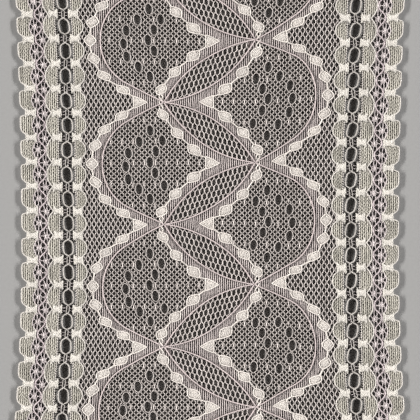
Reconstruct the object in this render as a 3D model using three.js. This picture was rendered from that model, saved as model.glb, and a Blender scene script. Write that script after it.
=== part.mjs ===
// A cut length of stretch galloon lace lying flat, in millimetres, +Z up.
// The length runs along Y, the width along X, and the underside lies on Z = 0.
// The lace is one knitted web. It is modelled as three flat sheets: the patterned panel in
// the middle, and the two scalloped border strips that carry the ribbon eyelets.
import * as THREE from 'three';

// ---- driving sizes -------------------------------------------------------------------
const THICKNESS = 1.0;          // sheet
const SEAM_GAP = 0.45;          // across, between the panel and a border strip (0.3 square to the edge)

const SCALLOP_PITCH = 9.516;    // one scallop, and one eyelet, along either border
const SCALLOPS = 20;            // scallops in the cut length
const REPEAT = 5 * SCALLOP_PITCH; // one petal and two leaves of the panel's pattern
const CUT_LOW = -96.9;          // where the length is cut, along the pattern
const CUT_HIGH = CUT_LOW + SCALLOPS * SCALLOP_PITCH;

const EYELET_LINE = 55.0;       // from the centre line to either row of eyelets, at the waist
const EYELET_WIDTH = 3.25;
const EYELET_LENGTH = 5.05;
const EYELET_SIDES = 12;
const EYELET_SQUARENESS = 2.4;  // 2 is an ellipse

const PETAL_EYELET_WIDTH = 2.3;
const PETAL_EYELET_LENGTH = 3.5;
const PETAL_EYELET_SIDES = 8;
const PETAL_LINE = 17.55;       // from the centre line to the line of knots between the petals
const END_MARGIN = 1.0;         // least cloth left between a petal eyelet and a cut end

// The strip narrows to a waist and its borders have stretched: the right one more than the left.
const WAIST_AT = -15.6;
const FLARE = {
  above: { reach: 95.6, grows: 2.18 },
  below: { reach: 65.5, grows: 2.54 },
};
const STRETCH_FROM = 15.6;      // distance from the centre line where the stretch begins
const BORDERS = [
  { name: 'border_left', side: -1, eyelets_at: -5.23, stretch: 0.008 },
  { name: 'border_right', side: 1, eyelets_at: 1.76, stretch: 0.0246 },
];
// lean: how far the outer side of a petal has slipped along.
const PETALS = [
  { side: -1, at: 18.07, shift: 0.30, lean: -0.39 },
  { side: 1, at: -5.13, shift: -0.30, lean: 1.25 },
];
const SWAY = { across: 0.14, along: 0.10 }; // how far an eyelet lies off its line, either way

// One scallop of the outer edge, from the middle of a notch up to the next one.
// up: part of the pitch; out: distance outwards from the eyelet row.
const OUTER_SCALLOP = [
  { up: 0.00, out: 15.7 },
  { up: 0.10, out: 16.1 },
  { up: 0.20, out: 17.3 },
  { up: 0.31, out: 18.0 },
  { up: 0.50, out: 18.2 },
  { up: 0.74, out: 18.2 },
  { up: 0.84, out: 17.9 },
  { up: 0.88, out: 16.7 },
  { up: 0.94, out: 15.8 },
];
// One scallop of the inner edge, from the middle of a solid block up to the next one.
const INNER_SCALLOP = [
  { up: 0.00, in: 5.35 },
  { up: 0.14, in: 5.6 },
  { up: 0.26, in: 6.7 },
  { up: 0.38, in: 7.25 },
  { up: 0.50, in: 7.4 },
  { up: 0.62, in: 7.25 },
  { up: 0.74, in: 6.7 },
  { up: 0.86, in: 5.6 },
];
const EYELET_UP = 0.48;         // part of the pitch from a notch up to the eyelet's middle

// The open eyelets of one petal. out: from the line of knots towards the border; up: along.
const PETAL_EYELETS = [
  { out: 5.27, up: 12.71 },
  { out: 0.66, up: 8.70 },
  { out: 9.56, up: 8.58 },
  { out: 3.20, up: 4.60 },
  { out: 13.73, up: 4.37 },
  { out: 5.46, up: 0.51 },
  { out: 14.82, up: -0.74 },
  { out: 3.28, up: -3.67 },
  { out: 13.69, up: -5.77 },
  { out: -0.27, up: -8.62 },
  { out: 9.44, up: -9.75 },
  { out: 5.15, up: -13.65 },
];

const LACE = { color: 0xe9e2d8, roughness: 0.85, metalness: 0.0 };

// ---- how the web lies ----------------------------------------------------------------
const smooth = (t) => {
  const c = Math.min(Math.max(t, 0), 1);
  return c * c * (3 - 2 * c);
};

function flare(along) {
  const run = along - WAIST_AT;
  const part = run > 0 ? FLARE.above : FLARE.below;
  return part.grows * (run / part.reach) ** 2;
}

function stretchedAlong(across, along) {
  const border = BORDERS[across < 0 ? 0 : 1];
  const share = smooth((Math.abs(across) - STRETCH_FROM) / (EYELET_LINE - STRETCH_FROM));
  return along * (1 + border.stretch * share);
}

const longest = Math.max(...BORDERS.map((b) => b.stretch));
const MIDDLE = (CUT_LOW + CUT_HIGH) / 2 * (1 + longest);

// The place on the table of a point of the pattern, centred on the whole length.
function lay(across, along) {
  const y = stretchedAlong(across, along);
  const part = Math.min(Math.abs(across) / EYELET_LINE, 1) ** 1.5;
  return new THREE.Vector2(across + Math.sign(across) * flare(y) * part, y - MIDDLE);
}

// ---- outlines ------------------------------------------------------------------------
// A scalloped edge from one cut end to the other, as [across, along] pairs.
function scallopedEdge(side, table, column, firstNotch, base, sign) {
  const edge = [];
  const reach = (along) => {
    const turns = (along - firstNotch) / SCALLOP_PITCH;
    const up = turns - Math.floor(turns);
    let i = table.length - 1;
    while (table[i].up > up) i -= 1;
    const a = table[i];
    const b = table[i + 1] ?? { up: 1, [column]: table[0][column] };
    return a[column] + (b[column] - a[column]) * (up - a.up) / (b.up - a.up);
  };
  const put = (along) => edge.push([side * (base + sign * reach(along)), along]);
  put(CUT_LOW);
  for (let k = -SCALLOPS; k <= SCALLOPS; k += 1) {
    for (const row of table) {
      const along = firstNotch + (k + row.up) * SCALLOP_PITCH;
      if (along > CUT_LOW + 0.2 && along < CUT_HIGH - 0.2) put(along);
    }
  }
  put(CUT_HIGH);
  return edge;
}

// Points across a cut end, without its two corners.
function cutEnd(from, to, along, steps) {
  const points = [];
  for (let i = 1; i < steps; i += 1) points.push([from + (to - from) * i / steps, along]);
  return points;
}

function ovalHole(across, along, width, length, sides, squareness) {
  const path = new THREE.Path();
  const points = [];
  for (let i = 0; i < sides; i += 1) {
    const a = (i + 0.5) / sides * 2 * Math.PI;
    const c = Math.cos(a);
    const s = Math.sin(a);
    points.push(lay(
      across + width / 2 * Math.sign(c) * Math.abs(c) ** (2 / squareness),
      along + length / 2 * Math.sign(s) * Math.abs(s) ** (2 / squareness),
    ));
  }
  return path.setFromPoints(points);
}

function sheet(name, outline, holes) {
  const shape = new THREE.Shape(outline.map(([across, along]) => lay(across, along)));
  shape.holes.push(...holes);
  const geometry = new THREE.ExtrudeGeometry(shape, { depth: THICKNESS, bevelEnabled: false, steps: 1, curveSegments: 1 });
  const mesh = new THREE.Mesh(geometry, new THREE.MeshStandardMaterial(LACE));
  mesh.name = name;
  return mesh;
}

const innerEdge = (b) => scallopedEdge(b.side, INNER_SCALLOP, 'in',
  b.eyelets_at - 0.5 * SCALLOP_PITCH, EYELET_LINE, -1);
const outerEdge = (b) => scallopedEdge(b.side, OUTER_SCALLOP, 'out',
  b.eyelets_at - EYELET_UP * SCALLOP_PITCH, EYELET_LINE, 1);

// A border strip: scalloped outside and inside, with a row of ribbon eyelets.
function borderStrip(b) {
  const outer = outerEdge(b);
  const inner = innerEdge(b);
  const outline = [
    ...inner,
    ...outer.toReversed(),
  ];
  const holes = [];
  for (let k = -SCALLOPS; k <= SCALLOPS; k += 1) {
    const along = b.eyelets_at + k * SCALLOP_PITCH + SWAY.along * Math.sin(2.9 * k + b.side);
    if (along > CUT_LOW && along < CUT_HIGH) {
      const across = EYELET_LINE + SWAY.across * Math.sin(1.7 * k + 2 * b.side);
      holes.push(ovalHole(b.side * across, along, EYELET_WIDTH, EYELET_LENGTH, EYELET_SIDES, EYELET_SQUARENESS));
    }
  }
  return sheet(b.name, outline, holes);
}

// The panel between the strips, with the open eyelets of its petals.
function panel() {
  const [left, right] = BORDERS.map((b) => innerEdge(b)
    .map(([across, along]) => [across - b.side * SEAM_GAP, along]));
  const outline = [
    ...right,
    ...cutEnd(right.at(-1)[0], left.at(-1)[0], CUT_HIGH, 7),
    ...left.toReversed(),
    ...cutEnd(left[0][0], right[0][0], CUT_LOW, 7),
  ];
  const holes = [];
  const margin = END_MARGIN + PETAL_EYELET_LENGTH / 2;
  for (const petal of PETALS) {
    for (let k = -3; k <= 3; k += 1) {
      for (const row of PETAL_EYELETS) {
        const out = row.out + petal.shift;
        const along = petal.at + k * REPEAT + row.up + petal.lean * smooth(out / PETAL_LINE);
        if (along < CUT_LOW + margin || along > CUT_HIGH - margin) continue;
        holes.push(ovalHole(petal.side * (PETAL_LINE + out), along,
          PETAL_EYELET_WIDTH, PETAL_EYELET_LENGTH, PETAL_EYELET_SIDES, 2));
      }
    }
  }
  return sheet('panel', outline, holes);
}

const lace = new THREE.Group();
lace.add(panel(), ...BORDERS.map(borderStrip));

export default lace;
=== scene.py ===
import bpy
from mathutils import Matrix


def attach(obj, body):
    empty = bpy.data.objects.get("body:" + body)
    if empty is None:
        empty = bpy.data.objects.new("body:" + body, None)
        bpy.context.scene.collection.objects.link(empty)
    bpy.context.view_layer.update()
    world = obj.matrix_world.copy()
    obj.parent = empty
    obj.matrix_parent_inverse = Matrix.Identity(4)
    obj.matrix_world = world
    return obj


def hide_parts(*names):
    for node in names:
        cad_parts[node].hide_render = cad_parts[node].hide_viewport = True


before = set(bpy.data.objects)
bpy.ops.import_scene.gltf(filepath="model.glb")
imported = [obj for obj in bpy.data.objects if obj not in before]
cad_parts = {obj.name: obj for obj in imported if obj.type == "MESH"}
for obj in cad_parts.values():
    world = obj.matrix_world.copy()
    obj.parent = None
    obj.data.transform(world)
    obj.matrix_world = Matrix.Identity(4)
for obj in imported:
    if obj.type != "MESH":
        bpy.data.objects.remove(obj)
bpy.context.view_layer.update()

import math

import bpy
import numpy as np
from mathutils import Vector

# A cut length of stretch galloon lace, knitted thread by thread.
# The pattern is drawn in its own flat units (across u, along v, up z), one unit being 0.39 mm,
# and lay() then puts it on the table the way the cut length lies: waisted, its borders stretched.

UNIT = 0.00039
TALL = 1.45  # the threads are drawn out upwards by this
rng = np.random.default_rng(11)

PITCH = 24.4  # one scallop and one eyelet along a border
REPEAT = 5 * PITCH  # one petal and two leaves of the panel
CUT_LOW, CUT_HIGH = -248.46, 239.54
EYELET_LINE = 141.03
WAIST = -40.0
STRETCH_FROM = 40.0
MIDDLE = (CUT_LOW + CUT_HIGH) / 2 * 1.0246

BORDERS = {-1: dict(eyelet=-13.41, stretch=0.008), 1: dict(eyelet=4.51, stretch=0.0246)}

NODE = 45.0  # from the centre line to the knots where leaves meet
KNOT_AT = {-1: -14.4, 1: 47.6}
HALF = REPEAT / 2


def smooth(t):
    c = np.clip(t, 0, 1)
    return c * c * (3 - 2 * c)


def lay(u, v):
    """The place on the table of a point of the pattern, in pattern units."""
    share = smooth((np.abs(u) - STRETCH_FROM) / (EYELET_LINE - STRETCH_FROM))
    y = v * (1 + np.where(u < 0, BORDERS[-1]["stretch"], BORDERS[1]["stretch"]) * share)
    run = y - WAIST
    grow = np.where(run > 0, 5.59 * (run / 245.1) ** 2, 6.51 * (run / 167.9) ** 2)
    part = np.minimum(np.abs(u) / EYELET_LINE, 1) ** 1.5
    x = u + np.sign(u) * grow * part
    # the slight unevenness of a soft web
    dx = 0.38 * np.sin(0.031 * y + 0.024 * u + 0.6) + 0.25 * np.sin(0.083 * y - 0.051 * u)
    dy = 0.42 * np.sin(0.036 * u + 0.019 * y + 2.1) + 0.25 * np.sin(0.071 * u + 0.061 * y + 1.0)
    calm = smooth(1.0 - (np.abs(u) - 150) / 30)
    return x + dx * calm, y + dy - MIDDLE


# ---- lines ---------------------------------------------------------------------------


def catmull(points, per=4, closed=False):
    p = np.asarray(points, float)
    if closed:
        e = np.vstack([p[-1:], p, p[:2]])
    else:
        e = np.vstack([2 * p[:1] - p[1:2], p, 2 * p[-1:] - p[-2:-1]])
    a, b, c, d = (x[:, None] for x in (e[:-3], e[1:-2], e[2:-1], e[3:]))
    t = (np.arange(per) / per)[None, :, None]
    q = 0.5 * (2 * b + (c - a) * t + (2 * a - 5 * b + 4 * c - d) * t**2 + (3 * b - a - 3 * c + d) * t**3)
    q = q.reshape(-1, p.shape[1])
    return q if closed else np.vstack([q, p[-1:]])


def arc(p, q, rise, n=20):
    """A circular arc from p to q that rises to the left of the way from one to the other."""
    p, q = np.asarray(p, float), np.asarray(q, float)
    d = q - p
    half = np.linalg.norm(d) / 2
    left = np.array([-d[1], d[0]]) / (2 * half)
    radius = (half * half + rise * rise) / (2 * abs(rise))
    s = np.linspace(-half, half, n)
    h = (np.sqrt(radius**2 - s**2) - (radius - abs(rise))) * np.sign(rise)
    return (p + q) / 2 + s[:, None] * d / (2 * half) + h[:, None] * left


def oval(cu, cv, ru, rv, n=14, power=2.0, turn=0.0):
    a = (np.arange(n) + 0.5) / n * 2 * np.pi
    c, s = np.cos(a), np.sin(a)
    x = ru * np.sign(c) * np.abs(c) ** (2 / power)
    y = rv * np.sign(s) * np.abs(s) ** (2 / power)
    return np.column_stack([cu + x * math.cos(turn) - y * math.sin(turn), cv + x * math.sin(turn) + y * math.cos(turn)])


def spans(poly, u):
    """Where the upright line at u lies inside a closed outline, as (low, high) pairs."""
    a, b = poly, np.roll(poly, -1, axis=0)
    hit = (a[:, 0] <= u) != (b[:, 0] <= u)
    if not hit.any():
        return []
    a, b = a[hit], b[hit]
    v = np.sort(a[:, 1] + (b[:, 1] - a[:, 1]) * (u - a[:, 0]) / (b[:, 0] - a[:, 0]))
    return list(zip(v[0::2], v[1::2]))


def without(low, high, ovals, u):
    """The parts of an upright line that are outside every oval, each (cu, cv, ru, rv, turn)."""
    parts = [(low, high)]
    for cu, cv, ru, rv, turn in ovals:
        if abs(u - cu) > rv or cv + rv < low or cv - rv > high:
            continue
        c, s, x = math.cos(turn), math.sin(turn), u - cu
        qa = (s / ru) ** 2 + (c / rv) ** 2
        qb = 2 * c * s * x * (1 / ru**2 - 1 / rv**2)
        qc = (c * x / ru) ** 2 + (s * x / rv) ** 2 - 1
        disc = qb * qb - 4 * qa * qc
        if disc <= 0:
            continue
        lo, hi = (cv + (-qb - math.sqrt(disc)) / (2 * qa), cv + (-qb + math.sqrt(disc)) / (2 * qa))
        parts = [q for a, b in parts for q in ((a, min(b, lo)), (max(a, hi), b)) if q[1] - q[0] > 0.05]
    return parts


# ---- threads into meshes -------------------------------------------------------------

START = {4: 90.0, 5: 90.0, 6: 60.0, 8: 90.0}  # no side of a thread is quite upright


class Threads:
    """The threads of one piece."""

    def __init__(self):
        self.lines = {}

    def add(self, line, wide, high=None, mat=0, tint=None, closed=False, sides=4):
        line = np.asarray(line, float)
        high = wide if high is None else high
        tint = rng.uniform(-1, 1) if tint is None else tint
        line = np.column_stack([line[:, :2], np.maximum(line[:, 2], high + 0.03)])
        if line[:, 1].min() < CUT_LOW or line[:, 1].max() > CUT_HIGH:
            if closed:
                line = np.vstack([line, line[:1]])
            for part in self.cut(line):
                self.lines.setdefault(sides, []).append((part, wide, high, mat, tint, False))
            return
        self.lines.setdefault(sides, []).append((line, wide, high, mat, tint, closed))

    @staticmethod
    def cut(line):
        inside = (line[:, 1] >= CUT_LOW) & (line[:, 1] <= CUT_HIGH)
        parts, run = [], []
        for i, p in enumerate(line):
            if i and inside[i] != inside[i - 1]:
                a, b = line[i - 1], p
                edge = CUT_LOW if min(a[1], b[1]) < CUT_LOW else CUT_HIGH
                at = a + (b - a) * (edge - a[1]) / (b[1] - a[1])
                run.append(at)
                if not inside[i]:
                    parts.append(np.array(run))
                    run = []
            if inside[i]:
                run.append(p)
        parts.append(np.array(run))
        return [p for p in parts if len(p) > 1 and np.linalg.norm(np.diff(p, axis=0), axis=1).sum() > 0.3]

    def piece(self, name, materials):
        co, ply, tint, loops, starts, mats = [], [], [], [], [], []
        base = corner = 0
        for sides, lines in self.lines.items():
            count = np.array([len(x[0]) for x in lines])
            p = np.concatenate([x[0] for x in lines])
            n = len(p)
            of = np.repeat(np.arange(len(lines)), count)
            first = (np.cumsum(count) - count)[of]
            last = first + count[of] - 1
            wide, high = (np.array([x[k] for x in lines])[of][:, None, None] for k in (1, 2))
            closed = np.array([x[5] for x in lines])[of]
            x, y = lay(p[:, 0], p[:, 1])
            p = np.column_stack([x, y, p[:, 2]])
            i = np.arange(n)
            nxt = np.where(i < last, i + 1, np.where(closed, first, i))
            prv = np.where(i > first, i - 1, np.where(closed, last, i))
            t = p[nxt] - p[prv]
            t /= np.maximum(np.linalg.norm(t, axis=1), 1e-9)[:, None]
            side = np.column_stack([-t[:, 1], t[:, 0], np.zeros(n)])
            side /= np.maximum(np.linalg.norm(side, axis=1), 1e-6)[:, None]
            up = np.cross(t, side)
            ang = np.radians(START[sides] + 360 * np.arange(sides) / sides)
            ring = p[:, None] + wide * np.cos(ang)[None, :, None] * side[:, None] + high * np.sin(ang)[None, :, None] * up[:, None]
            co.append(ring.reshape(-1, 3))
            tint.append(np.repeat(np.array([x[4] for x in lines])[of], sides))
            step = np.linalg.norm(p[nxt] - p, axis=1)
            run = np.cumsum(step) - step
            run = run - run[first] + np.repeat(rng.uniform(0, 50, len(lines)), count)
            seg = i[nxt != i]
            to = nxt[seg]
            k = np.arange(sides)
            k1 = (k + 1) % sides
            quad = np.stack([seg[:, None] * sides + k, seg[:, None] * sides + k1, to[:, None] * sides + k1, to[:, None] * sides + k], axis=2)
            loops.append(base + quad.reshape(-1))
            m = len(seg) * sides
            starts.append(corner + 4 * np.arange(m))
            mat = np.array([x[3] for x in lines])[of]
            mats.append(np.repeat(mat[seg], sides))
            s0, s1 = run[seg][:, None] + 0 * k, (run[seg] + step[seg])[:, None] + 0 * k
            a0, a1 = k[None] / sides + 0 * s0, (k[None] + 1) / sides + 0 * s0
            ply.append(np.stack([np.stack([s0, a0], 2), np.stack([s0, a1], 2), np.stack([s1, a1], 2), np.stack([s1, a0], 2)], axis=2).reshape(-1, 2))
            corner += 4 * m
            ends0, ends1 = i[(i == first) & ~closed], i[(i == last) & ~closed]
            cap = np.concatenate([ends0[:, None] * sides + k[::-1], ends1[:, None] * sides + k])
            loops.append(base + cap.reshape(-1))
            starts.append(corner + sides * np.arange(len(cap)))
            mats.append(np.concatenate([mat[ends0], mat[ends1]]))
            ply.append(np.column_stack([np.repeat(np.concatenate([run[ends0], run[ends1]]), sides), np.tile(k / sides, len(cap))]))
            corner += cap.size
            base += n * sides
        co = np.concatenate(co) * [UNIT, UNIT, UNIT * TALL]
        loops, starts, mats = np.concatenate(loops), np.concatenate(starts), np.concatenate(mats)
        ply, tint = np.concatenate(ply), np.concatenate(tint)
        mesh = bpy.data.meshes.new(name)
        mesh.vertices.add(len(co))
        mesh.vertices.foreach_set("co", co.astype(np.float32).ravel())
        mesh.loops.add(len(loops))
        mesh.loops.foreach_set("vertex_index", loops.astype(np.int32))
        mesh.polygons.add(len(starts))
        mesh.polygons.foreach_set("loop_start", starts.astype(np.int32))
        mesh.polygons.foreach_set("material_index", mats.astype(np.int32))
        mesh.polygons.foreach_set("use_smooth", np.ones(len(starts), bool))
        for m in materials:
            mesh.materials.append(m)
        mesh.update(calc_edges=True)
        low, high = co.min(axis=0), co.max(axis=0)
        size = max(high[0] - low[0], high[1] - low[1]) * 1.01
        flat = (co[loops][:, :2] - low[:2]) / size + 0.004
        bake = mesh.uv_layers.new(name="OFBake")
        bake.data.foreach_set("uv", flat.astype(np.float32).ravel())
        twist = mesh.uv_layers.new(name="ply")
        twist.data.foreach_set("uv", ply.astype(np.float32).ravel())
        mesh.attributes.new("tint", "FLOAT", "POINT").data.foreach_set("value", tint.astype(np.float32))
        mesh.validate()
        obj = bpy.data.objects.new(name, mesh)
        bpy.context.scene.collection.objects.link(obj)
        obj["triangles"] = int((np.diff(np.append(starts, len(loops))) - 2).sum())
        return obj


# ---- the ways a thread is worked -----------------------------------------------------


def level(line, z):
    line = np.asarray(line, float)
    return np.column_stack([line, np.broadcast_to(z, len(line))])


class Net:
    """An open ground: upright wales that lean apart round every hole and close up between.
    shape: how open a hole is, from its middle to its end, as (part of the period, part of the push)."""

    def __init__(self, wale, period, step, push, wide, high, shape, origin=0.0, phase=0.0, z=0.85, mat=0):
        self.wale, self.period, self.step, self.push, self.wide, self.high = wale, period, step, push, wide, high
        self.shape, self.origin, self.phase, self.z, self.mat = np.array(shape), origin, phase, z, mat

    def open(self, x):
        d = np.abs((x / self.period + 0.5) % 1.0 - 0.5)
        return np.interp(d, self.shape[:, 0], self.shape[:, 1])

    def line(self, w, low, high):
        left, right = (self.phase + self.step * k for k in (w - 1, w))
        knots = [low, high]
        for ph in (left, right):
            k = np.arange(math.floor((low - ph) / self.period) - 1, math.ceil((high - ph) / self.period) + 2)
            for e in self.shape[:, 0]:
                knots.extend(ph + (k + e) * self.period)
                knots.extend(ph + (k - e) * self.period)
        v = np.array(sorted(x for x in knots if low <= x <= high))
        gap = 0.35
        kept = [v[0]]
        for x in v[1:-1]:
            if x - kept[-1] > gap and v[-1] - x > gap:
                kept.append(x)
        v = np.array(kept + [v[-1]])
        move = self.open(v - left) - self.open(v - right)
        u = self.origin + self.wale * w + self.push * move * rng.uniform(0.96, 1.04, len(v)) + 0.06 * np.sin(0.05 * v + 0.15 * w)
        z = self.z + 0.16 * np.cos(2 * np.pi * (v - left) / self.period) + (0.08 if w % 2 else -0.08)
        return np.column_stack([u, v, z])

    def fill(self, threads, poly, ovals=(), tuck=0.35):
        lo = math.ceil((poly[:, 0].min() - self.origin) / self.wale)
        hi = math.floor((poly[:, 0].max() - self.origin) / self.wale)
        for w in range(lo, hi + 1):
            u = self.origin + w * self.wale
            for a, b in spans(poly, u):
                for c, d in without(a - tuck, b + tuck, ovals, u):
                    c, d = max(c, CUT_LOW), min(d, CUT_HIGH)
                    if d - c > 0.8:
                        threads.add(self.line(w, c, d), self.wide, self.high, self.mat)

    def bars(self, threads, poly, ovals=(), every=4, half=3.7, mat=0):
        """Short upright floats that close a hole here and there."""
        lo = math.ceil((poly[:, 0].min() - self.origin) / self.wale / every)
        hi = math.floor((poly[:, 0].max() - self.origin) / self.wale / every)
        for n in range(lo, hi + 1):
            c = n * every
            u = self.origin + (c + 0.5) * self.wale
            first = self.phase + self.step * c + (2 * self.period if n % 2 else 0)
            for a, b in spans(poly, u):
                for x, y in without(a, b, ovals, u):
                    for r in range(math.ceil((x - first) / (4 * self.period)), math.floor((y - first) / (4 * self.period)) + 1):
                        v = first + 4 * r * self.period
                        p, q = max(v - half, x), min(v + half, y)
                        if q - p > 3:
                            at = np.linspace(p, q, 4)
                            threads.add(np.column_stack([u + rng.normal(0, 0.1, 4), at, [1.2, 1.5, 1.5, 1.2]]), 0.58, 0.56, mat)


def ribs(threads, poly, pitch, wide, high, z, mat, origin=0.0, step=3.0, stray=0.12, ovals=(), tuck=0.3, zig=0.0):
    """Close upright ribs across a dense part of the web."""
    lo = math.ceil((poly[:, 0].min() - origin) / pitch)
    hi = math.floor((poly[:, 0].max() - origin) / pitch)
    wide, high, z = (x if isinstance(x, tuple) else (x, x) for x in (wide, high, z))
    for w in range(lo, hi + 1):
        u = origin + w * pitch
        for a, b in spans(poly, u):
            for c, d in without(a - tuck, b + tuck, ovals, u):
                c, d = max(c, CUT_LOW), min(d, CUT_HIGH)
                if d - c < 0.8:
                    continue
                n = max(2, int(round((d - c) / step)) + 1)
                v = np.linspace(c, d, n)
                loops = zig * np.where((np.arange(n) + w) % 2, 1, -1)
                line = np.column_stack([u + loops + rng.normal(0, stray, n), v, z[w % 2] + 0.5 * loops + rng.normal(0, 0.07, n)])
                threads.add(line, wide[w % 2], high[w % 2], mat)


def pillow(threads, outline, angle, pitch=1.2, wide=0.66, z=0.75, rise=0.95, mat=0, per=6, wave=0.16, ragged=0.0, swell=0.6, flat=0.85):
    """A raised lump: short wavy strands laid side by side across an outline."""
    c, s = math.cos(angle), math.sin(angle)
    middle = outline.mean(axis=0)
    q = outline - middle
    turned = np.column_stack([-q[:, 0] * s + q[:, 1] * c, q[:, 0] * c + q[:, 1] * s])  # (across the strands, along them)
    low, high = turned[:, 0].min(), turned[:, 0].max()
    n = max(3, int(round((high - low) / pitch)))
    for k in range(n):
        a = low + (k + 0.5) * (high - low) / n
        for b0, b1 in spans(turned, a):
            b0, b1 = b0 - rng.uniform(0, 1) * ragged, b1 + rng.uniform(0, 1) * ragged
            t = np.linspace(0, 1, per)
            along = b0 + (b1 - b0) * t
            across = a + wave * np.where(np.arange(per) % 2, 1, -1) * (1 if k % 2 else -1) + rng.normal(0, 0.08, per)
            crown = np.sqrt(np.clip(1 - (2 * (a - low) / (high - low) - 1) ** 2, 0, 1))
            h = z + rise * crown * np.sin(np.pi * (0.06 + 0.88 * t)) ** swell + rng.normal(0, 0.06, per)
            p = np.column_stack([middle[0] + along * c - across * s, middle[1] + along * s + across * c, h])
            threads.add(p, wide, wide * flat, mat)


def ply(threads, line, wide, turn=3.2, mat=0):
    """A cord of two strands wound round each other."""
    p = np.asarray(line, float)
    run = np.concatenate([[0], np.cumsum(np.linalg.norm(np.diff(p, axis=0), axis=1))])
    n = max(3, int(run[-1] / (turn / 4)) + 1)
    at = np.linspace(0, run[-1], n)
    q = np.column_stack([np.interp(at, run, p[:, i]) for i in range(3)])
    t = np.gradient(q[:, :2], axis=0)
    side = np.column_stack([-t[:, 1], t[:, 0]]) / np.maximum(np.linalg.norm(t, axis=1), 1e-9)[:, None]
    for start in (0.0, math.pi):
        a = 2 * np.pi * at / turn + start
        strand = np.column_stack([q[:, :2] + side * (0.36 * wide * np.cos(a))[:, None], q[:, 2] + 0.3 * wide * np.sin(a)])
        threads.add(strand, 0.66 * wide, 0.62 * wide, mat)


# ---- materials -----------------------------------------------------------------------


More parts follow.
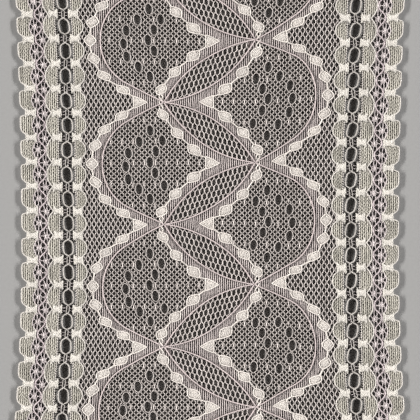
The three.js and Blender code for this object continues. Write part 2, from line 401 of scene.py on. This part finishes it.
def yarn(name, light, dark, rough=0.72, sheen=0.1, bump=0.35, turn=2.4, speck=0.2):
    """Twisted yarn: two plies wound round each other, fine fibres, and uneven dye, with painted shade low down and on
    steep sides.
    """
    m = bpy.data.materials.new(name)
    m.use_nodes = True
    nodes, link = m.node_tree.nodes, m.node_tree.links.new
    nodes.clear()

    def node(kind, **values):
        n = nodes.new(kind)
        for k, v in values.items():
            setattr(n, k, v)
        return n

    out = node("ShaderNodeOutputMaterial")
    bsdf = node("ShaderNodeBsdfPrincipled")
    link(bsdf.outputs["BSDF"], out.inputs["Surface"])
    place = node("ShaderNodeTexCoord")
    patches = node("ShaderNodeTexNoise")
    patches.inputs["Scale"].default_value = 140.0
    patches.inputs["Detail"].default_value = 3.0
    link(place.outputs["Object"], patches.inputs["Vector"])
    fibres = node("ShaderNodeTexNoise")
    fibres.inputs["Scale"].default_value = 5200.0
    fibres.inputs["Detail"].default_value = 2.0
    link(place.outputs["Object"], fibres.inputs["Vector"])
    tint = node("ShaderNodeAttribute", attribute_name="tint")
    a = node("ShaderNodeMath", operation="MULTIPLY_ADD")
    link(tint.outputs["Fac"], a.inputs[0])
    a.inputs[1].default_value = 0.16
    link(patches.outputs["Fac"], a.inputs[2])
    b = node("ShaderNodeMath", operation="MULTIPLY_ADD")
    link(fibres.outputs["Fac"], b.inputs[0])
    b.inputs[1].default_value = 0.30
    link(a.outputs[0], b.inputs[2])
    stitches = node("ShaderNodeTexNoise")
    stitches.inputs["Scale"].default_value = 1700.0
    stitches.inputs["Detail"].default_value = 1.0
    link(place.outputs["Object"], stitches.inputs["Vector"])
    c = node("ShaderNodeMath", operation="MULTIPLY_ADD")
    link(stitches.outputs["Fac"], c.inputs[0])
    c.inputs[1].default_value = speck
    link(b.outputs[0], c.inputs[2])
    ramp = node("ShaderNodeValToRGB")
    ramp.color_ramp.elements[0].position = 0.35 + 0.5 * speck
    ramp.color_ramp.elements[0].color = (*dark, 1)
    ramp.color_ramp.elements[1].position = 0.85 + 0.5 * speck
    ramp.color_ramp.elements[1].color = (*light, 1)
    link(c.outputs[0], ramp.inputs["Fac"])
    # painted shade: the colour darkens towards the table, to a tenth of it at the table and full colour from 1.05 mm
    # up; the downward-facing undersides keep their full colour
    height_on_table = node("ShaderNodeSeparateXYZ")
    link(place.outputs["Object"], height_on_table.inputs[0])
    painted_low_shade = node("ShaderNodeMapRange", interpolation_type="SMOOTHSTEP")
    painted_low_shade.inputs["From Max"].default_value = 0.00105
    painted_low_shade.inputs["To Min"].default_value = -0.9
    painted_low_shade.inputs["To Max"].default_value = 0.0
    link(height_on_table.outputs["Z"], painted_low_shade.inputs["Value"])
    facing = node("ShaderNodeNewGeometry")
    upward = node("ShaderNodeSeparateXYZ")
    link(facing.outputs["Normal"], upward.inputs[0])
    face = node("ShaderNodeMapRange")
    face.inputs["From Min"].default_value = -0.5
    face.inputs["From Max"].default_value = -0.1
    link(upward.outputs["Z"], face.inputs["Value"])
    share = node("ShaderNodeMath", operation="MULTIPLY_ADD")
    link(painted_low_shade.outputs["Result"], share.inputs[0])
    link(face.outputs["Result"], share.inputs[1])
    share.inputs[2].default_value = 1.0
    # painted shade: steep sides are painted darker than the tops, down to 0.28 of the colour where the surface stands
    # upright
    steep = node("ShaderNodeMath", operation="ABSOLUTE")
    link(upward.outputs["Z"], steep.inputs[0])
    painted_flank_shade = node("ShaderNodeMapRange", interpolation_type="SMOOTHSTEP")
    painted_flank_shade.inputs["From Min"].default_value = 0.05
    painted_flank_shade.inputs["From Max"].default_value = 0.93
    painted_flank_shade.inputs["To Min"].default_value = 0.28
    link(steep.outputs[0], painted_flank_shade.inputs["Value"])
    painted_shade_factor = node("ShaderNodeMath", operation="MULTIPLY")
    link(share.outputs[0], painted_shade_factor.inputs[0])
    link(painted_flank_shade.outputs["Result"], painted_shade_factor.inputs[1])
    # painted shade: the yarn colour is multiplied by both painted shades, low down and on steep sides
    painted_shade_colour = node("ShaderNodeVectorMath", operation="SCALE")
    link(ramp.outputs["Color"], painted_shade_colour.inputs[0])
    link(painted_shade_factor.outputs[0], painted_shade_colour.inputs["Scale"])
    link(painted_shade_colour.outputs["Vector"], bsdf.inputs["Base Color"])
    matt = node("ShaderNodeMapRange")
    matt.inputs["To Min"].default_value = rough - 0.1
    matt.inputs["To Max"].default_value = rough + 0.12
    link(fibres.outputs["Fac"], matt.inputs["Value"])
    link(matt.outputs["Result"], bsdf.inputs["Roughness"])
    bsdf.inputs["Specular IOR Level"].default_value = 0.12
    bsdf.inputs["Sheen Weight"].default_value = sheen
    bsdf.inputs["Sheen Roughness"].default_value = 0.45
    # the twist: ridges that climb round the thread
    twist = node("ShaderNodeUVMap", uv_map="ply")
    axes = node("ShaderNodeSeparateXYZ")
    link(twist.outputs["UV"], axes.inputs[0])
    climb = node("ShaderNodeMath", operation="MULTIPLY_ADD")
    link(axes.outputs["X"], climb.inputs[0])
    climb.inputs[1].default_value = 2 * math.pi / turn
    turns = node("ShaderNodeMath", operation="MULTIPLY")
    link(axes.outputs["Y"], turns.inputs[0])
    turns.inputs[1].default_value = 4 * math.pi
    link(turns.outputs[0], climb.inputs[2])
    ridge = node("ShaderNodeMath", operation="SINE")
    link(climb.outputs[0], ridge.inputs[0])
    height = node("ShaderNodeMath", operation="MULTIPLY_ADD")
    link(ridge.outputs[0], height.inputs[0])
    height.inputs[1].default_value = 0.4
    link(fibres.outputs["Fac"], height.inputs[2])
    relief = node("ShaderNodeBump")
    relief.inputs["Strength"].default_value = bump
    relief.inputs["Distance"].default_value = 0.00006
    link(height.outputs[0], relief.inputs["Height"])
    link(relief.outputs["Normal"], bsdf.inputs["Normal"])
    return m


def floor_material():
    m = bpy.data.materials.new("pale_floor")
    m.use_nodes = True
    nodes, link = m.node_tree.nodes, m.node_tree.links.new
    bsdf = nodes["Principled BSDF"]
    place = nodes.new("ShaderNodeTexCoord")
    grain = nodes.new("ShaderNodeTexNoise")
    grain.inputs["Scale"].default_value = 900.0
    grain.inputs["Detail"].default_value = 2.0
    link(place.outputs["Object"], grain.inputs["Vector"])
    ramp = nodes.new("ShaderNodeValToRGB")
    ramp.color_ramp.elements[0].color = (0.295, 0.29, 0.286, 1)
    ramp.color_ramp.elements[1].color = (0.325, 0.32, 0.316, 1)
    link(grain.outputs["Fac"], ramp.inputs["Fac"])
    link(ramp.outputs["Color"], bsdf.inputs["Base Color"])
    bsdf.inputs["Roughness"].default_value = 0.9
    bsdf.inputs["Specular IOR Level"].default_value = 0.0
    return m


NET, CORD, PINK, RIB, LUMP, DENSE, LEAF, BLOCK, STRIP, EDGE, GROUND, RAIL, BLUSH = range(13)
MATERIALS = [
    yarn("lace_net_yarn", (0.73, 0.662, 0.626), (0.59, 0.532, 0.50)),
    yarn("lace_white_cord", (0.88, 0.815, 0.76), (0.79, 0.73, 0.68), turn=3.2),
    yarn("lace_pink_cord", (0.68, 0.580, 0.567), (0.60, 0.511, 0.50)),
    yarn("lace_rib_yarn", (0.72, 0.635, 0.612), (0.56, 0.49, 0.475)),
    yarn("lace_padded_yarn", (0.77, 0.715, 0.665), (0.65, 0.60, 0.56), turn=2.0, speck=0.4),
    yarn("lace_dense_yarn", (0.70, 0.658, 0.578), (0.43, 0.403, 0.352), speck=0.6),
    yarn("lace_leaf_yarn", (0.88, 0.80, 0.76), (0.74, 0.67, 0.635)),
    yarn("lace_block_yarn", (0.75, 0.707, 0.648), (0.67, 0.632, 0.578), turn=2.0, speck=0.4),
    yarn("lace_strip_yarn", (0.92, 0.83, 0.82), (0.77, 0.685, 0.68)),
    yarn("lace_edge_cord", (0.72, 0.672, 0.622), (0.63, 0.588, 0.544), turn=3.2),
    yarn("lace_ground_yarn", (0.90, 0.82, 0.78), (0.75, 0.68, 0.645)),
    yarn("lace_rail_cord", (0.56, 0.52, 0.485), (0.44, 0.41, 0.38), turn=3.2),
    yarn("lace_blush_cord", (0.69, 0.590, 0.60), (0.59, 0.504, 0.513)),
]

# ---- the panel -----------------------------------------------------------------------

web = {-1: Threads(), 1: Threads()}
chains = Threads()


def halves(fill, poly, *args, **kw):
    """Works a part of the ground that crosses the middle into the two half webs."""
    for s in (-1, 1):
        part = side_of(poly, s)
        if len(part):
            fill(web[s], part, *args, **kw)


def side_of(poly, s):
    """The part of a closed outline on one side of the centre line."""
    out = []
    for a, b in zip(poly, np.roll(poly, -1, axis=0)):
        if a[0] * s >= 0:
            out.append(a)
        if (a[0] * s >= 0) != (b[0] * s >= 0):
            t = a[0] / (a[0] - b[0])
            out.append(a + (b - a) * t)
    return np.array(out)


PETAL_NET = dict(wale=2.74, period=5.28, step=2.64, push=0.78, wide=0.5, high=0.92, shape=[(0.10, 1), (0.20, 0.82), (0.30, 0.3), (0.38, 0)], mat=NET)
GROUND_NET = dict(period=7.85, step=3.925, push=0.74, wide=0.47, high=0.92, shape=[(0.10, 1), (0.20, 0.82), (0.30, 0.3), (0.38, 0)], mat=GROUND)
LEAF_NET = dict(wale=2.35, period=11.64, push=1.02, wide=0.49, high=0.92, shape=[(0, 1), (0.12, 1), (0.21, 0.75), (0.28, 0)], mat=LEAF)

PETAL_EYELETS = [  # out from the knots' line towards the border, up along
    (13.5, 32.6), (1.7, 22.3), (24.5, 22.0), (8.2, 11.8), (35.2, 11.2), (14.0, 1.3),
    (38.0, -1.9), (8.4, -9.4), (35.1, -14.8), (-0.7, -22.1), (24.2, -25.0), (13.2, -35.0),
]
EYELET_OVAL = (4.0, 5.6)
LEAN = {-1: -1.0, 1: 3.2}  # how far the outer side of a petal has slipped along

ROUND_AT, CHAIN_R = 18.0, 53.6
CHAIN_ANGLES = (-65, -40.5, -19.5, 0.4, 20.4, 40.3, 63.2)
# Beads along a leaf: part of its chord, and how far outside the leaf's own bulge.
VEE = {1: [(0.046, 9.9), (0.238, 9.3), (0.460, 9.0)], -1: [(0.056, 8.6), (0.2545, 9.2), (0.470, 10.4)]}


def out_of(s, at, x, y):
    """A place in a petal, out from the knots' line and up along from the petal's middle."""
    x, y = np.broadcast_arrays(np.asarray(x, float), np.asarray(y, float))
    return np.stack([s * (NODE + x), at + y + LEAN[s] * smooth(x / 45)], axis=-1)


def petal_round(s, at):
    """The thin cord round a petal: flattened towards the border, and run out straight to the two knots."""
    a = np.radians(np.linspace(-62, 62, 29))
    far = 42.7 + 3.1 * (1 - np.cos(1.45 * a)) - 0.9 * s * np.cos(a) ** 2
    ring = np.column_stack([ROUND_AT + far * np.cos(a), far * np.sin(a)])
    tail = np.linspace([0, -HALF], ring[0], 8)[:-1]
    bow = np.sin(np.linspace(0, np.pi, 8))[:-1, None] * np.array([0.9, 0.0])
    local = np.vstack([tail + bow, ring, ((tail + bow) * [1, -1])[::-1]])
    return out_of(s, at, local[:, 0], local[:, 1])


def bead_outline(c, d, size=1.0, bulge=0.59, level_by=0.6):
    """A lozenge strung by its two far corners. The other two lie more or less level with its middle.
    Also gives the corners it is strung by."""
    n = np.array([-d[1], d[0]])
    steep = abs(d[1])
    far, half = 5.9 + 1.4 * (1 - steep**3), 4.3 + 1.4 * steep**4
    slide = float(np.clip(-n[1] / d[1] if steep > 1e-6 else 0.0, -level_by, level_by)) * half
    corner, tip = (n * half + d * slide) * size, d * far * size
    ring = [tip, (tip + corner) * bulge, corner, (corner - tip) * bulge, -tip, -(tip + corner) * bulge, -corner, (tip - corner) * bulge]
    return catmull(c + np.array(ring), 2, closed=True), c - tip, c + tip


def wedge_outline(base, tip, half):
    """A triangular bead: an upright edge and a point."""
    base, tip = np.asarray(base, float), np.asarray(tip, float)
    d = tip - base
    n = np.array([-d[1], d[0]]) / np.linalg.norm(d) * half
    rows = [(0, 0), (0, 1), (0.12, 1), (0.5, 0.66), (0.88, 0.16), (1, 0), (0.88, -0.16), (0.5, -0.66), (0.12, -1), (0, -1)]
    return catmull([base + d * x + n * y for x, y in rows], 2, closed=True)


def lump(outline, angle):
    middle = outline.mean(axis=0)
    pillow(chains, middle + (outline - middle) * 0.92, angle, pitch=1.05, wide=0.66, z=0.95, rise=0.85, mat=LUMP, wave=0.12, swell=0.45, flat=0.55)
    chains.add(level(outline, 1.4), 0.62, 0.68, CORD, closed=True, sides=5)


def directions(points):
    d = np.gradient(np.asarray(points), axis=0)
    return d / np.linalg.norm(d, axis=1)[:, None]


def strung(corners, wide=1.0):
    """Cords from the last corner of each bead to the first of the next, given (first, last) of each."""
    for (_, p), (q, _) in zip(corners[:-1], corners[1:]):
        d = (q - p) / max(np.linalg.norm(q - p), 1e-6)
        ply(chains, level([p - 0.7 * d, (p + q) / 2, q + 0.7 * d], [1.35, 1.3, 1.35]), wide, mat=CORD)


chain_lines = {-1: [], 1: []}
outer_corners = {-1: [], 1: []}
for s in (-1, 1):
    for k in range(-3, 4):
        knot = KNOT_AT[s] + k * REPEAT
        at = knot + HALF
        if at + HALF < CUT_LOW - 40 or at - HALF > CUT_HIGH + 40:
            continue
        opposite = np.array([-s * NODE, KNOT_AT[-s] + round((at - KNOT_AT[-s]) / REPEAT) * REPEAT])
        low, high = np.array([s * NODE, knot]), np.array([s * NODE, knot + REPEAT])
        ring = petal_round(s, at)
        chains.add(level(ring, 1.8), 0.66, 0.62, PINK, sides=6)

        # the leaf edges on this petal's side, and the vee of beads above them
        lower, upper = arc(low, opposite, -13.0 * s), arc(high, opposite, 13.0 * s)
        for edge in (lower, upper):
            chains.add(level(edge, 1.8), 0.66, 0.62, PINK, sides=6)
        vee = []
        for start, up in ((low, 1), (high, -1)):
            d = opposite - start
            length = np.linalg.norm(d)
            d /= length
            n = np.array([-d[1], d[0]]) * -s * up
            vee.append([start + d * f * length + n * (52 * f * (1 - f) + off) for f, off in VEE[up]])
        tip = np.array([s * (NODE - 46.5), at + (opposite[1] - at) * 0.5])
        vee_line = np.array([low, *vee[0], tip, *vee[1][::-1], high])

        # the outer chain
        a = np.radians(CHAIN_ANGLES)
        outer = np.vstack([out_of(s, at, 25.2, -HALF), out_of(s, at, ROUND_AT + CHAIN_R * np.cos(a), CHAIN_R * np.sin(a)), out_of(s, at, 25.2, HALF)])
        chain_lines[s].append(outer[:-1])

        # the grounds
        eyelets = [(*out_of(s, at, o - 0.77 * s, u + 0.26 * s), *EYELET_OVAL, -s * 0.13) for o, u in PETAL_EYELETS]
        petal_poly = np.vstack([ring, vee_line[::-1][1:-1]])
        net = Net(origin=s * 0.7, phase=at * 1.0, **PETAL_NET)
        halves(net.fill, petal_poly, eyelets)
        net.bars(chains, petal_poly, [(*e[:2], 5.2, 7.0, e[4]) for e in eyelets], mat=LEAF)
        for e in eyelets:
            chains.add(level(oval(e[0], e[1], 3.9, 5.75, 16, 1.85, e[4]), 1.1), 0.36, 0.98, NET, closed=True, sides=6)
        for poly in (np.vstack([ring, outer[::-1]]), np.vstack([vee_line, upper[1:], lower[::-1][1:-1]])):
            halves(ribs, poly, 2.05, 0.6, 0.55, 1.15, RIB, step=4.5, stray=0.08, zig=0.08)

        # beads of the outer chain
        d = directions(outer)
        wedge = wedge_outline(out_of(s, at, 30.6, -HALF), out_of(s, at, 17.2, -HALF), 5.6)
        lump(wedge, math.pi / 2 + 0.3)
        outer_corners[s].append((out_of(s, at, 30.4, -HALF - 5.4), out_of(s, at, 30.4, -HALF + 5.4)))
        for i in range(1, 8):
            shape, first, last = bead_outline(outer[i], d[i])
            lump(shape, math.pi / 2 + 0.4 * s)
            outer_corners[s].append((first, last))

        # beads of the vee, and the small open links that pass each knot
        ends = [low + [s * 3.0, 8.4], high + [s * 3.0, -8.4]]
        seq = np.array([ends[0], *vee[0], tip, *vee[1][::-1], ends[1]])
        d = directions(seq)
        corners = [(ends[0], ends[0])]
        for i in range(1, 8):
            if i == 4:
                wedge = wedge_outline(tip + [s * 5.4, 0], tip + [-s * 8.0, 0], 5.8)
                lump(wedge, math.pi / 2 - 0.3)
                corners.append((tip + [s * 5.2, -5.6], tip + [s * 5.2, 5.6]))
                continue
            way = d[i] if i not in (3, 5) else (seq[i] - seq[i - 1 if i == 3 else i + 1]) * (1 if i == 3 else -1)
            way = way / np.linalg.norm(way)
            shape, first, last = bead_outline(seq[i], way, 0.96 if i in (1, 7) else 1.16 if i in (3, 5) else 1.06, 0.62 if i in (1, 7) else 0.58, 0.3)
            lump(shape, math.pi / 2 - 0.4 * s)
            corners.append((first, last))
        strung([*corners, (ends[1], ends[1])])
        y = np.linspace(-8.6, 8.6, 19)
        for hand in (-1, 1):
            x = 3.0 + hand * 1.75 * np.sin(np.pi * (y + 8.4) / 5.6)
            chains.add(np.column_stack([s * (NODE + x), knot + y, 1.35 + 0.25 * hand * np.cos(np.pi * (y + 8.4) / 5.6)]), 0.62, 0.6, CORD, sides=5)
    strung(outer_corners[s], 1.05)

# the leaves
SOLID_END = 6.5  # of each leaf, next to its knots
for k in range(-4, 5):
    left = np.array([-NODE, KNOT_AT[-1] + k * REPEAT])
    for up in (1, -1):
        right = np.array([NODE, KNOT_AT[1] + k * REPEAT - (0 if up > 0 else REPEAT)])
        if max(left[1], right[1]) < CUT_LOW or min(left[1], right[1]) > CUT_HIGH:
            continue
        leaf = np.vstack([arc(left, right, 13), arc(left, right, -13)[::-1][1:-1]])
        net = Net(origin=0.3, phase=left[1], step=-5.13 * up, **LEAF_NET)
        inner = NODE - SOLID_END
        for s in (-1, 1):
            whole = side_of(leaf, s)
            body = side_of(whole - [s * inner, 0], -s) + [s * inner, 0]
            end = side_of(whole - [s * inner, 0], s) + [s * inner, 0]
            net.fill(web[s], body)
            ribs(web[s], end, 1.3, (0.6, 0.5), 0.5, (0.85, 0.7), PINK)

# ---- the borders ---------------------------------------------------------------------

OUTER_SCALLOP = [(0.0, 40.26), (0.10, 41.3), (0.20, 44.4), (0.31, 46.2), (0.50, 46.7), (0.74, 46.7), (0.84, 45.9), (0.88, 42.8), (0.94, 40.5)]
INNER_SCALLOP = [(0.0, 13.72), (0.14, 14.36), (0.26, 17.2), (0.38, 18.6), (0.5, 19.0), (0.62, 18.6), (0.74, 17.2), (0.86, 14.36)]
EYELET_UP = 0.48


def reach(s, o):
    """Across, for a distance out from the eyelets. The right border lies a little wider than the left."""
    o = np.asarray(o, float)
    more = 0.7 * smooth((o - 9) / 8) + 0.016 * np.maximum(o - 17, 0) - 0.6 * smooth((-o - 9) / 8) if s > 0 else 0.0
    return s * (EYELET_LINE + o + more)


def edge_line(s, table, start, sign, inset):
    rows = []
    for k in range(-12, 12):
        for up, far in table:
            rows.append([reach(s, sign * (far - inset)), start + (k + up) * PITCH])
    rows = np.array(rows)
    return rows[(rows[:, 1] > CUT_LOW - 12) & (rows[:, 1] < CUT_HIGH + 12)]


border_web = {-1: Threads(), 1: Threads()}
border_cord = {-1: Threads(), 1: Threads()}

# Open places of the strip of stars: out from the eyelets, up, half width, half height.
STAR_OUT = [(25.1, 2.6, 1.9, 2.4), (25.0, -2.9, 1.75, 2.3), (28.2, -5.5, 1.2, 2.4), (31.3, -4.4, 1.1, 2.5), (33.2, 0.1, 1.3, 1.9), (31.5, 4.3, 1.1, 2.6), (28.5, 5.2, 1.15, 2.3)]
STAR_IN = [(26.3, 2.2, 1.9, 2.4), (26.1, -3.0, 1.75, 2.3), (23.0, 4.3, 1.15, 2.4), (19.8, 3.1, 1.25, 2.2), (17.4, -1.1, 1.9, 2.3), (19.3, -5.0, 1.15, 2.0), (22.6, -5.9, 1.3, 2.2)]
# Solid blocks between the scallops: from, to, half height.
BLOCKS = [(30.7, 41.2, 3.5), (5.7, 14.4, 3.7), (-14.2, -5.2, 4.0)]

for s in (-1, 1):
    e0 = BORDERS[s]["eyelet"]
    wt, ct = border_web[s], border_cord[s]
    ks = range(-11, 12)

    def at(o, v, z):
        o, v, z = np.broadcast_arrays(np.asarray(o, float), np.asarray(v, float), z)
        return np.column_stack([reach(s, o), v, z])

    inner = edge_line(s, INNER_SCALLOP, e0 - PITCH / 2, -1, 0.7)
    outer = edge_line(s, OUTER_SCALLOP, e0 - EYELET_UP * PITCH, 1, 0.35)
    v = np.arange(CUT_LOW - 3, CUT_HIGH + 3, PITCH / 16)
    turn = 2 * np.pi * (v - e0) / PITCH
    from_eyelet = np.abs((v - e0 + PITCH / 2) % PITCH - PITCH / 2)

    # the ground between the panel's outer chain and this border
    line = np.vstack(chain_lines[s])
    ground = np.vstack([line, inner[::-1]])
    Net(wale=2.4 if s < 0 else 2.6, origin=s * 0.9, phase=e0, **GROUND_NET).fill(web[s], ground)

    # the dense scallops
    wavy_o = np.interp(from_eyelet, [0, 4, 7, 9.5, 12.2], [20.4, 20.1, 18.8, 17.0, 14.9])
    near = np.interp(from_eyelet, [0, 4, 8, 12.2], [34.8, 33.8, 31.8, 31.0])
    dense_out = np.vstack([outer, at(near, v, 0)[::-1, :2]])
    dense_mid = np.vstack([at(wavy_o, v, 0)[:, :2], at(9.4, v, 0)[::-1, :2]])
    dense_in = np.vstack([inner, at(-8.3, v, 0)[::-1, :2]])
    for poly in (dense_out, dense_mid, dense_in):
        ribs(wt, poly, 2.05, 0.58, 0.52, 1.4, DENSE, step=1.7, stray=0.1, zig=0.2)
        ribs(wt, poly, 2.05, 0.62, 0.45, 1.12, DENSE, origin=1.025, step=1.7, stray=0.1, zig=0.35)

    # cords
    pink_o = 25.2 - 3.9 * np.cos(turn)
    ct.add(level(catmull(outer, 2), 1.3), 0.7, 0.8, EDGE, sides=6)
    ct.add(at(wavy_o, v, 1.6), 0.66, 0.66, EDGE, sides=6)
    ct.add(at(pink_o, v, 1.75), 0.56, 0.58, BLUSH, sides=6)
    ct.add(at(near, v, 1.5), 0.38, 0.5, STRIP, sides=5)
    ct.add(level(catmull(inner, 2), 1.5), 0.62, 0.7, EDGE, sides=5)

    # the strip of stars: close ribs, open round every star
    holes = [(float(reach(s, o)), e0 + k * PITCH + up, ru, rv, 0.0) for k in ks for o, up, ru, rv in STAR_OUT]
    holes += [(float(reach(s, o)), e0 + (k + 0.5) * PITCH + up, ru, rv, 0.0) for k in ks for o, up, ru, rv in STAR_IN]
    strip = np.vstack([at(near, v, 0)[:, :2], at(wavy_o, v, 0)[::-1, :2]])
    ribs(wt, strip, 1.3, (0.66, 0.6), 0.4, (1.5, 1.4), STRIP, step=2.4, stray=0.1, ovals=[(h[0], h[1], h[2] + 0.9, h[3] + 0.7, 0.0) for h in holes], tuck=0)
    for h in holes:
        wt.add(level(oval(h[0], h[1], h[2] + 0.5, h[3] + 0.5, 11), 1.1), 0.36, 0.8, STRIP, closed=True)

    # solid blocks
    for k in ks:
        for o0, o1, tall in BLOCKS:
            c = at((o0 + o1) / 2, e0 + (k + 0.5) * PITCH, 0)[0, :2]
            x = np.linspace(-1, 1, 7)
            top = np.column_stack([c[0] + x * (o1 - o0) / 2, c[1] + tall * (0.62 + 0.66 * x**2)])
            pillow(ct, np.vstack([top, [2 * c[0], 2 * c[1]] - top]), math.pi / 2 + 0.06 * rng.normal(), pitch=1.3, wide=0.86, z=1.6, rise=0.7, mat=BLOCK, per=7, wave=0.15, ragged=0.8, flat=0.4)

    # the eyelet row: two rails that part round every eyelet and run close together between
    fine = np.arange(CUT_LOW, CUT_HIGH + 0.1, PITCH / 24)
    t = (fine - e0 + PITCH / 2) % PITCH - PITCH / 2
    sway = 0.36 * np.sin(1.7 * (fine - e0) / PITCH + 2 * s)
    far = np.abs(t)
    bow = np.where(far < 6.8, 4.97 * np.clip(1 - (far / 7.35) ** 2.8, 0, 1) ** (1 / 2.8), 0)
    bow = np.where(far >= 6.8, np.interp(far, [6.8, 7.9, 9.3, 12.2], [2.6, 0.1, -1.25, -1.35]), bow)
    tilt = (0.7 if s > 0 else 0.3) * np.sin(2 * np.pi * t / PITCH)
    for hand in (-1, 1):
        rail = at(hand * bow + sway + tilt, fine, 1.62 - 0.55 * smooth((far - 5) / 3) + 0.2 * hand * (np.abs(far - 7.9) < 1.2))
        for k in ks:
            mid = e0 + k * PITCH
            rim, link = np.abs(fine - mid) < 9.2, np.abs(fine - mid - PITCH / 2) < 4.6
            for part, wide, high, mat in ((rim, 0.76, 0.95, RAIL), (link, 0.46, 0.8, RAIL)):
                if part.sum() > 2:
                    ct.add(rail[part], wide, high, mat, sides=6)
        # the ladder, the slots and the dotted line beside the rails
        beside = 8.8 if hand > 0 else 7.9
        line_v = np.arange(CUT_LOW, CUT_HIGH, 1.1)
        zig = np.where(np.arange(len(line_v)) % 2, 1, -1)
        ct.add(at(hand * (beside + 0.4 * zig), line_v, 1.4 + 0.2 * zig), 0.38, 0.42, EDGE)
        for x in np.arange(CUT_LOW + 2.4, CUT_HIGH - 1, 2.4):
            ct.add(at(hand * (beside + np.array([-0.5, 0.0, 0.5])), x + np.array([-0.5, 0.0, 0.5]), [1.5, 1.75, 1.5]), 0.5, 0.5, CORD)
            wt.add(at(hand * np.array([5.0, (5.0 + beside) / 2, beside - 0.2]), x + rng.normal(0, 0.12, 3), [1.1, 1.2, 1.15]), 0.42, 0.45, EDGE)
        for k in ks:
            mid = e0 + (k + 0.5) * PITCH
            for x in (-1.5, 1.35):
                wt.add(at([hand * 1.3, hand * 3.4, hand * 6.2], mid + x + np.array([0.2, 0, -0.2]), 1.1), 0.4, 0.5, STRIP)
    for k in ks:
        for x in (-3.3, -0.3, 2.9):
            wt.add(at([-1.5, 0.0, 1.5], e0 + (k + 0.5) * PITCH + x + rng.normal(0, 0.2, 3), 1.0), 0.42, 0.42, STRIP)
        for x, far in ((6.1, 3.6), (6.8, 2.9), (-6.7, 3.0)):
            wt.add(at([-far, 0.0, far], e0 + k * PITCH + x + np.array([0.3, -0.2, 0.3]), 0.9), 0.3, 0.32, NET)

# ---- pieces --------------------------------------------------------------------------

pieces = {
    "panel_web_left": (web[-1], "panel", "panel_lace"),
    "panel_web_right": (web[1], "panel", "panel_lace"),
    "panel_chains": (chains, "panel", "panel_lace"),
    "border_left_web": (border_web[-1], "border_left", "border_lace"),
    "border_left_cords": (border_cord[-1], "border_left", "border_lace"),
    "border_right_web": (border_web[1], "border_right", "border_lace"),
    "border_right_cords": (border_cord[1], "border_right", "border_lace"),
}
for name, (threads, node, slot) in pieces.items():
    obj = threads.piece(name, MATERIALS)
    print("PIECE", name, obj["triangles"])
    del obj["triangles"]
    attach(obj, "root")
    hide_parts(node)

# ---- stage ---------------------------------------------------------------------------

bpy.ops.mesh.primitive_plane_add(size=2.0, location=(0, 0, 0))
floor = bpy.context.object
floor.name = "floor"
floor.data.materials.append(floor_material())


def soft_box(name, azimuth, far, rise, wide, tall, energy, colour=(1, 1, 1)):
    """A soft box that stands low beside the table and looks at the middle of it."""
    data = bpy.data.lights.new(name, "AREA")
    data.shape = "RECTANGLE"
    data.size, data.size_y = wide, tall
    data.energy = energy
    data.color = colour
    obj = bpy.data.objects.new(name, data)
    bpy.context.scene.collection.objects.link(obj)
    a = math.radians(azimuth)
    obj.location = (far * math.cos(a), far * math.sin(a), rise)
    obj.rotation_euler = (-Vector(obj.location)).to_track_quat("-Z", "Y").to_euler()
    return obj


soft_box("key", 172, 6.0, 2.5, 5.1, 0.83, 800.0, (1.0, 0.99, 0.97))
soft_box("right", 8, 6.0, 2.5, 5.1, 0.83, 765.0, (1.0, 0.995, 0.985))
soft_box("back", 90, 6.0, 1.52, 5.1, 1.57, 15.0)
soft_box("front", 270, 6.0, 1.52, 5.1, 1.57, 15.0)

world = bpy.data.worlds.new("studio")
bpy.context.scene.world = world
world.use_nodes = True
sky = world.node_tree.nodes["Background"]
sky.inputs["Color"].default_value = (0.98, 0.99, 1.0, 1)
# a pale wall all round that ends a little above the table, and a dim ceiling
around = world.node_tree.nodes.new("ShaderNodeTexCoord")
axes = world.node_tree.nodes.new("ShaderNodeSeparateXYZ")
wall = world.node_tree.nodes.new("ShaderNodeMapRange")
wall.interpolation_type = "SMOOTHSTEP"
wall.inputs["From Min"].default_value = 0.22
wall.inputs["From Max"].default_value = 0.38
wall.inputs["To Min"].default_value = 0.55
wall.inputs["To Max"].default_value = 0.01
world.node_tree.links.new(around.outputs["Generated"], axes.inputs[0])
world.node_tree.links.new(axes.outputs["Z"], wall.inputs["Value"])
world.node_tree.links.new(wall.outputs["Result"], sky.inputs["Strength"])

scene = bpy.context.scene
scene.view_settings.view_transform = "Standard"
scene.view_settings.look = "None"

lens = bpy.data.cameras.new("camera")
lens.sensor_width = 36.0
lens.lens = 100.0
camera = bpy.data.objects.new("camera", lens)
scene.collection.objects.link(camera)
centre = (0.5 * UNIT, -MIDDLE * UNIT)
camera.location = (centre[0], centre[1], 420 * UNIT * 100.0 / 36.0 + 0.0005)
camera.rotation_euler = (0, 0, 0)
lens.clip_start = 0.01
scene.camera = camera
